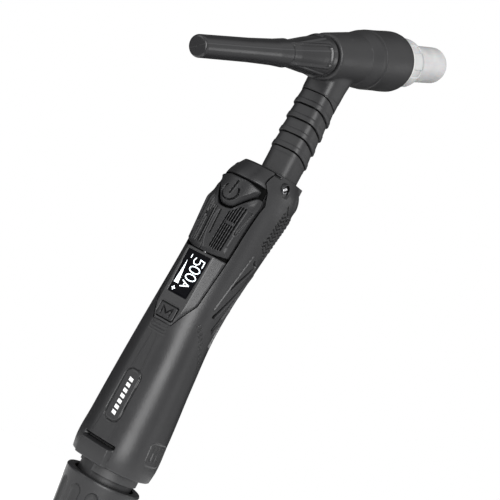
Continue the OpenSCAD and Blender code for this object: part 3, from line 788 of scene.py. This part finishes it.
def side_screw(side, name):
    """Slotted round-head screw in its sunk ring."""
    wide, middle, half = section(float(screw_level))
    reach = wide * (1 - abs((screw_y - middle) / half) ** section_power) ** (1 / section_power)
    place = Matrix.Translation((side * (reach - 0.6), screw_y, handle_base + screw_level))
    axes = place @ Matrix.Rotation(side * math.pi / 2, 4, "Y")
    screw_profile = [(0.01, 0.75), (1.2, 0.65), (1.75, 0.3), (1.85, -0.6), (0.01, -0.6)]
    ring_profile = [(1.9, -0.5), (2.7, -0.5), (2.8, 0.7), (3.1, 0.95), (3.5, 0.7), (3.5, -1), (1.9, -1)]
    turned("side_screw_" + name, screw_profile, "torch", steel, ["side_screws"] if side > 0 else (),
           axes, soften=0.15, segments=48, step=0.3)
    turned("screw_ring_" + name, ring_profile, "torch", shell_plastic, (), axes, soften=0.2,
           segments=64, step=0.4)
    slot_half_width, slot_half_length, slot_face, slot_turn = 0.42, 1.5, 0.78, 35
    slot_points = [(a * slot_half_width, b * slot_half_length, slot_face)
                   for a, b in ((-1, -1), (1, -1), (1, 1), (-1, 1))]
    piece("screw_slot_" + name, slot_points, [[0, 1, 2, 3]], "torch", deep_shadow, (),
          axes @ Matrix.Rotation(math.radians(slot_turn), 4, "Z"))


# ---------- neck and head ----------

def neck_outline():
    """Section of the neck: a flat front with soft sides and a round back."""
    points = []
    for t in np.linspace(0, 2 * math.pi, 72, endpoint=False):
        power = 2 / (3.6 if math.sin(t) < 0 else 2.5)
        points.append((neck_half * math.copysign(abs(math.cos(t)) ** power, math.cos(t)),
                       neck_half * math.copysign(abs(math.sin(t)) ** power, math.sin(t))))
    return points


def neck():
    """Neck sleeve with four overlapping ribs that slope down to the back."""
    flat = np.array(divided(neck_outline(), 0.4))
    reach = np.hypot(*flat.T)
    out = flat / reach[:, None]
    levels = np.arange(sleeve_low, sleeve_high + 0.1, 0.22)
    z = np.repeat(levels[:, None], len(flat), 1)
    back = flat[None, :, 1] + neck_half
    rib_count, rib_slope, rib_bulge, groove_depth, groove_share = 4, 0.30, 0.75, 1.0, 0.045
    slanted = z + rib_slope * back
    first_groove = sleeve_high - 0.35
    cells = (first_groove - slanted) / rib_pitch
    within = cells % 1
    ribbed = between(cells, -0.02, rib_count + 0.3, 0.02)
    bulge = rib_bulge * within - 0.25 + 0.25 * ramp(within, 0.62, 0.68)
    groove = -groove_depth * np.clip(1 - np.minimum(within, 1 - within) / groove_share, 0, 1)
    relief = ribbed * (np.where(cells < rib_count, bulge, 0.1) + np.where(cells < rib_count + 0.1, groove, 0))
    points = np.stack([flat[None, :, 0] + out[None, :, 0] * relief,
                       neck_offset + flat[None, :, 1] + out[None, :, 1] * relief, z], -1)
    piece("neck_ribbed_sleeve", points.reshape(-1, 3), grid_faces(len(levels), len(flat), True), "torch",
          neck_rubber, ["neck_sleeve"], sharp=30)


def head():
    """Moulded head: tilted barrel and neck web, melted together."""
    barrel = [(0.01, -16.7), (10.3, -16.7), (10.9, -16.1), (12.4, 6), (12.6, 9.5), (12.6, 18), (0.01, 18)]
    path = divided(rounded(barrel, 0.4, False), 0.8, False)
    segments = 96
    turn = np.arange(segments) * 2 * math.pi / segments
    rings = [np.stack([r * np.cos(turn), r * np.sin(turn), np.full(segments, s)], -1) for r, s in path]
    barrel_points = np.array([head_axes @ Vector(p) for p in np.vstack(rings)])
    barrel_faces = grid_faces(len(path), segments, True)
    outline = np.array(divided(neck_outline(), 0.8))
    web = []
    for rise, grow in ((-0.4, 0.3), (6, 0.5), (12, 1.5), (17, 3.1), (20, 3.3)):
        lean = 1 + grow / neck_half
        web.append(np.stack([outline[:, 0] * (1 + 0.3 * (lean - 1)), neck_offset + outline[:, 1] * lean,
                             np.full(len(outline), sleeve_high + rise)], -1))
    web_points = np.vstack(web)
    web_faces = grid_faces(len(web), len(outline), True)
    lid = list(range((len(web) - 1) * len(outline), len(web) * len(outline)))
    foot = list(range(len(outline) - 1, -1, -1))
    offset = len(barrel_points)
    faces = barrel_faces.tolist() + (web_faces + offset).tolist()
    faces += [[i + offset for i in lid], [i + offset for i in foot]]
    made = piece("head_moulding", np.vstack([barrel_points, web_points]), faces, "torch", head_plastic,
                 ["head_cover"])
    melt = made.modifiers.new("melt", "REMESH")
    melt.mode = "VOXEL"
    melt.voxel_size = 0.45 * MM
    melt.use_smooth_shade = True
    relax = made.modifiers.new("relax", "SMOOTH")
    relax.factor = 0.6
    relax.iterations = 8


def shield():
    """Heat shield with a step between its taper and its main band."""
    profile = [(12.3, 8.3), (12.6, 8.4), (14.0, 15.6), (14.0, 18.6), (14.35, 19), (14.55, 30), (14.9, 38),
               (14.9, 42.2), (14.5, 44.2), (13.4, 46.2), (12.6, 46.8), (9.8, 46.8), (9.8, 42), (10.7, 40),
               (10.7, 19.3), (12.5, 19)]

    def relief(around, along, size):
        outer = size > 12
        return outer * stroke(along, 0 * along, [(18.7, 0), (18.71, 0)], 1.2, -0.12)
    turned("heat_shield_band", profile, "torch", head_plastic, ["heat_shield"], head_axes,
           relief, 0.5, 192, 0.4)


def nozzle():
    """Ceramic cup with shallow flutes round its thick end."""
    start = 47.8
    end = start + 41.6
    flute_count, flute_half, flute_depth = 6, 2.1, 0.6
    flute_turn = math.radians(20)
    profile = [(9.5, start), (12.2, start), (12.4, start + 0.5), (12.4, 57), (11.9, 58.8), (10.3, 62.4),
               (9.4, 63.6), (9.3, 65), (9.3, end - 1.2), (8.9, end - 0.2), (8.3, end), (7.3, end), (7.3,
                                                                                                    66),
               (8.1, 63.4), (8.1, 56.4), (9.5, 55.8)]

    def relief(around, along, size):
        pitch = 2 * math.pi / flute_count
        across = ((around + flute_turn) % pitch - pitch / 2) * size
        round_end = 1 - ramp(along + 0.15 * across ** 2, 59.4, 60.2)
        flute = between(across, -flute_half, flute_half, 0.2) * round_end
        return -flute_depth * flute * (size > 9.4) * ramp(along, start + 0.3, start + 0.6)
    turned("gas_nozzle", profile, "cup_body", alumina, ["cup"], head_axes, relief, 0.6, 360, 0.35)


def back_cap():
    """Long back cap with four broad flutes that end in a rounded step near the head."""
    profile = [(0.01, -110.9), (3.9, -110.9), (4.5, -110.6), (4.8, -109.8), (5.2, -76), (5.8, -58), (7,
                                                                                                     -43),
               (9.1, -28), (9.8, -22), (9.8, -18.6), (9.3, -17.9), (6.2, -17.9), (5.9, -17.4), (5.9, -7),
               (3.5, -7), (3.5, -40), (0.01, -40)]
    flute_count, flute_end, corner = 4, -22.6, 1.8
    flute_turn = math.radians(59)

    def relief(around, along, size):
        pitch = 2 * math.pi / flute_count
        across = ((around + flute_turn) % pitch - pitch / 2) * size
        past_side = np.abs(across) - 4.3 - 0.11 * size + corner
        past_end = along - flute_end + corner
        outside = np.hypot(np.maximum(past_side, 0), np.maximum(past_end, 0))
        edge = corner - outside - np.minimum(np.maximum(past_side, past_end), 0)
        fade = 1 - ramp(-along, 47.5, 50)
        outer = (size > 5) & (along < -18)
        sunk = -0.6 * ramp(edge, 0.3, 1.1)
        lip = 0.4 * np.clip(1 - (edge / 0.8) ** 2, 0, 1)
        return outer * fade * (sunk + lip)
    turned("back_cap_fluted", profile, "cap", phenolic, ["back_cap"], head_axes, relief, 0.5,
           330, 0.36)


# ---------- tail ----------

def tail():
    """Fluted cable sleeve; the collar above it is the CAD's own."""
    foot_radius, rim_radius, height = 13.2, 18.4, 45
    flute_count, flute_low, flute_high, flute_depth = 12, 4, 39.5, 1.5
    profile = [(11.5, 0), (12.6, 0), (foot_radius, 0.8), (rim_radius, height - 0.8), (17.9, height), (14.8,
                                                                                                      height),
               (14.8, height - 1.2), (15.7, height - 1.6), (15.7, 37.2), (14.7, 37), (14.7, 30.2), (12.9,
                                                                                                    30.1),
               (12.9, 30), (11.5, 23.6)]

    def relief(around, along, size):
        pitch = 2 * math.pi / flute_count
        across = ((around + pitch / 2) % pitch - pitch / 2) * size
        half = 2.25 + 0.02 * along
        end = np.minimum(flute_high - along, along - flute_low)
        top = np.sqrt(np.clip(1 - np.clip(1 - end / half, 0, 1) ** 2, 0, 1))
        scoop = np.clip(1 - (across / (half * np.maximum(top, 0.05))) ** 2, 0, 1) ** 0.5
        outer = size > foot_radius - 0.5
        return -flute_depth * scoop * outer * (end > 0)
    turned("cable_sleeve_fluted", profile, "sleeve", shell_plastic, ["cable_sleeve"],
           upright, relief, 0.5, 360, 0.5)


# ---------- studio ----------

def studio():
    """Pale floor, surroundings that look white but light the part from one side, and soft lights."""
    reach = 0.26
    mesh = bpy.data.meshes.new("floor")
    rim = [(reach * math.cos(t), reach * math.sin(t), -0.0004) for t in np.linspace(0, 2 * math.pi, 97)[:-1]]
    mesh.from_pydata(rim, [], [list(range(len(rim)))])
    floor = bpy.data.objects.new("floor", mesh)
    bpy.context.scene.collection.objects.link(floor)
    mesh.materials.append(finish("pale_floor", (0.84, 0.84, 0.84), (0.86, 0.86, 0.86), (0.7, 0.8), grain=2,
                                 bump=0.02, patch=200, specular=0.1, glow=0.5))

    world = bpy.data.worlds.new("studio")
    bpy.context.scene.world = world
    world.use_nodes = True
    nodes, links = world.node_tree.nodes, world.node_tree.links
    background = nodes["Background"]
    place = nodes.new("ShaderNodeTexCoord")
    split = nodes.new("ShaderNodeSeparateXYZ")
    links.new(place.outputs["Generated"], split.inputs["Vector"])

    def graded(value, start, end, low, high):
        made = nodes.new("ShaderNodeMapRange")
        made.inputs["From Min"].default_value = start
        made.inputs["From Max"].default_value = end
        made.inputs["To Min"].default_value = low
        made.inputs["To Max"].default_value = high
        links.new(value, made.inputs["Value"])
        return made.outputs["Result"]

    bright_side = (0.788, -0.616, 0)
    toward_bright = nodes.new("ShaderNodeVectorMath")
    toward_bright.operation = "DOT_PRODUCT"
    toward_bright.inputs[1].default_value = bright_side
    links.new(place.outputs["Generated"], toward_bright.inputs[0])
    side = nodes.new("ShaderNodeMath")
    side.operation = "MULTIPLY"
    links.new(graded(toward_bright.outputs["Value"], -0.45, -0.14, 0.08, 0.76), side.inputs[0])
    links.new(graded(split.outputs["Z"], -0.7, 0.5, 0.4, 1.0), side.inputs[1])
    path = nodes.new("ShaderNodeLightPath")
    seen = nodes.new("ShaderNodeMix")
    seen.data_type = "FLOAT"
    links.new(path.outputs["Is Camera Ray"], seen.inputs["Factor"])
    links.new(side.outputs["Value"], seen.inputs[2])
    seen.inputs[3].default_value = 1.0
    links.new(seen.outputs[0], background.inputs["Strength"])
    background.inputs["Color"].default_value = (1, 1, 1, 1)

    centre = Vector((0, 0, 0.17))

    def softbox(name, azimuth, elevation, distance, width, height, power, glossy=True):
        light = bpy.data.lights.new(name, "AREA")
        light.shape = "RECTANGLE"
        light.size, light.size_y, light.energy = width, height, power
        holder = bpy.data.objects.new(name, light)
        a, e = math.radians(azimuth), math.radians(elevation)
        away = Vector((math.sin(a) * math.cos(e), -math.cos(a) * math.cos(e), math.sin(e)))
        holder.location = centre + away * distance
        holder.visible_glossy = glossy
        holder.rotation_mode = "QUATERNION"
        holder.rotation_quaternion = away.to_track_quat("Z", "Y")
        bpy.context.scene.collection.objects.link(holder)
    softbox("key", 41, 8, 1.0, 0.6, 0.9, 12.5)
    softbox("fill", -30, 12, 1.1, 0.5, 0.7, 1.6)
    softbox("side", 112, 0, 1.2, 0.5, 0.8, 0.9)
    softbox("behind", 143, 18, 1.2, 0.3, 0.3, 0.5)
    softbox("rear", 211, 20, 1.1, 0.4, 0.8, 4, glossy=False)


def photo_camera():
    """Camera at the photo's angle, tipped so that the handle leans to the right."""
    azimuth, elevation, roll = math.radians(31.0), math.radians(-1.82), math.radians(27.72)
    aim = Vector((0.0103, 0.0031, 0.1680))
    distance = 0.62
    back = Vector((math.sin(azimuth) * math.cos(elevation), -math.cos(azimuth) * math.cos(elevation),
                   math.sin(elevation)))
    level_right = Vector((math.cos(azimuth), math.sin(azimuth), 0))
    level_up = back.cross(level_right)
    right = math.cos(roll) * level_right + math.sin(roll) * level_up
    up = math.cos(roll) * level_up - math.sin(roll) * level_right
    lens = bpy.data.cameras.new("photo_camera")
    lens.lens = 97.6
    lens.sensor_width = 36
    lens.clip_start = 0.05
    camera = bpy.data.objects.new("photo_camera", lens)
    turn = Matrix((right, up, back)).transposed().to_4x4()
    camera.matrix_world = Matrix.Translation(aim + back * distance) @ turn
    bpy.context.scene.collection.objects.link(camera)
    bpy.context.scene.camera = camera
    bpy.context.scene.view_settings.view_transform = "Standard"


photo_camera()
studio()
dress_cad()
handle_shell()
handle_crown()
front_cover()
display()
rocker()
trigger()
mode_key()
badge()
side_screw(1, "right")
side_screw(-1, "left")
neck()
head()
shield()
nozzle()
back_cap()
tail()
